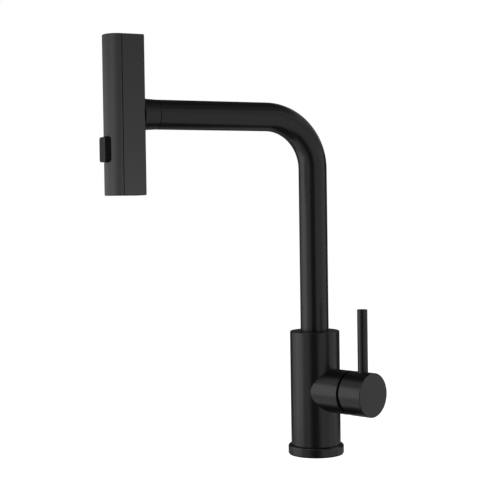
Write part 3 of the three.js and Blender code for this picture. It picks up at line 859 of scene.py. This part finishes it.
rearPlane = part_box("head_rear_shell")[0].y
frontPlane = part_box("head_front_shell")[1].y
rearShell = makeShell("rearShell", "head_rear_shell", headSettings, rearPlane, True)
frontShell = makeShell("frontShell", "head_front_shell", headSettings, frontPlane, False)

buttonSettings = {
    "corner": 2.6 * mm,
    "frontEdge": 0.8 * mm,
    "gap": 0.4 * mm,
    "faceDip": 0.1 * mm,
    "faceRim": 1.8 * mm,
    "tabs": 1.6 * mm,  # hidden tabs above and below the face
    "windowFront": 4.0 * mm,
    "windowBack": 2.0 * mm,
}


def buttonBlock(name, grow, low, high, corner):
    deselect()
    size = high - low + Vector((2 * grow, 0, 2 * grow))
    bpy.ops.mesh.primitive_cube_add(size=1, location=(low + high) / 2, scale=size)
    block = named(name)
    bpy.ops.object.transform_apply(location=True, rotation=True, scale=True)
    editing()
    pick("edges", lambda edge: abs(edge.verts[0].co.y - edge.verts[1].co.y) > 1 * mm)
    bpy.ops.mesh.bevel(offset=corner + grow, segments=8, profile=0.5, affect="EDGES")
    return block


def buttonBounds(settings):
    low, high = (corner.copy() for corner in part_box("mode_button"))
    low.z += settings["tabs"]
    high.z -= settings["tabs"]
    return low, high


def makeButton(settings):
    low, high = buttonBounds(settings)
    button = buttonBlock("modeButton", 0, low, high, settings["corner"])
    front = low.y

    def onFront(edge):
        return all(abs(vertex.co.y - front) < touching for vertex in edge.verts)

    pick("edges", onFront)
    bpy.ops.mesh.bevel(offset=settings["frontEdge"], segments=5, profile=0.5, affect="EDGES")
    pick("faces", lambda face: face.normal.y < -0.99 and abs(face.calc_center_median().y - front) < touching)
    bpy.ops.mesh.inset(thickness=settings["faceRim"], depth=-settings["faceDip"])
    done()
    smooth(button, 35)
    finishPiece(button, buttonFace, "button", "black_plastic", "mode_button")
    button.data.materials.append(buttonSide)
    for face in button.data.polygons:
        face.material_index = 0 if face.center.y < front + settings["frontEdge"] * 0.6 else 1


def cutWindow(shell, settings):
    low, high = buttonBounds(settings)
    high.y = rearPlane - settings["windowBack"]
    low.y -= settings["windowFront"]
    tool = buttonBlock("buttonWindow", settings["gap"], low, high, settings["corner"])
    done()
    carve(shell, tool)


cutWindow(frontShell, buttonSettings)
makeButton(buttonSettings)
finishPiece(smooth(rearShell, 30), coatHead, "head", "black_coat", "head_rear_shell")
finishPiece(smooth(frontShell, 30), coatHead, "head", "black_coat", "head_front_shell")

# low panels that only fill the spray head, which hangs further forward than the rest
headRing = {"distance": 0.45, "centre": (0, -0.20, 0.33)}
headPanels = [
    (-60, -30, -35, -12, 2.50),
    (0, 60, -35, -12, 1.60),
    (-60, 0, -12, 12, 0.75),
    (0, 60, -12, 12, 0.22),
]


def fillHead(pieces):
    receivers = bpy.data.collections.new("headFill")
    for piece in pieces:
        receivers.objects.link(piece)
    for headPanel in headPanels:
        panel = addPanel(headRing, *headPanel)
        panel.light_linking.receiver_collection = receivers


fillHead([rearShell, frontShell])


floorSettings = {"size": 12, "dark": (0.56, 0.56, 0.56), "light": (0.60, 0.60, 0.60), "seen": 0.99}


def addFloor(settings):
    deselect()
    bpy.ops.mesh.primitive_plane_add(size=settings["size"], location=(0, 0, 0))
    floor = named("studioFloor")
    paint = Paint("paleFloor")
    speckle = paint.noise(paint.place, 8.0, 2.0, 0.5)
    colour = paint.tones(speckle, settings["dark"], settings["light"])
    matte = paint.node("BsdfDiffuse", {}, {"Color": colour})["BSDF"]
    seen = paint.node("Emission", {}, {"Color": (1, 1, 1, 1), "Strength": settings["seen"]})["Emission"]
    both = paint.node("AddShader", {}, {0: matte, 1: seen})[0]
    camera = paint.node("LightPath", {}, {})["Is Camera Ray"]
    mixed = paint.node("MixShader", {}, {0: camera, 1: matte, 2: both})[0]
    paint.node("OutputMaterial", {}, {"Surface": mixed})
    floor.data.materials.append(paint.material)
    floor.visible_glossy = False
    floor.visible_shadow = False


worldSettings = {"seen": 1.0, "around": 0.06}


def addWorld(settings):
    paint = Paint("studioWorld", bpy.data.worlds)
    white = (1, 1, 1, 1)
    seen = paint.node("Background", {}, {"Color": white, "Strength": settings["seen"]})[0]
    around = paint.node("Background", {}, {"Color": white, "Strength": settings["around"]})[0]
    camera = paint.node("LightPath", {}, {})["Is Camera Ray"]
    mixed = paint.node("MixShader", {}, {0: camera, 1: around, 2: seen})[0]
    paint.node("OutputWorld", {}, {"Surface": mixed})
    bpy.context.scene.world = paint.material


addFloor(floorSettings)
addWorld(worldSettings)
bpy.context.scene.view_settings.view_transform = "Standard"
bpy.context.scene.view_settings.look = "None"
deselect()
print("stage set")
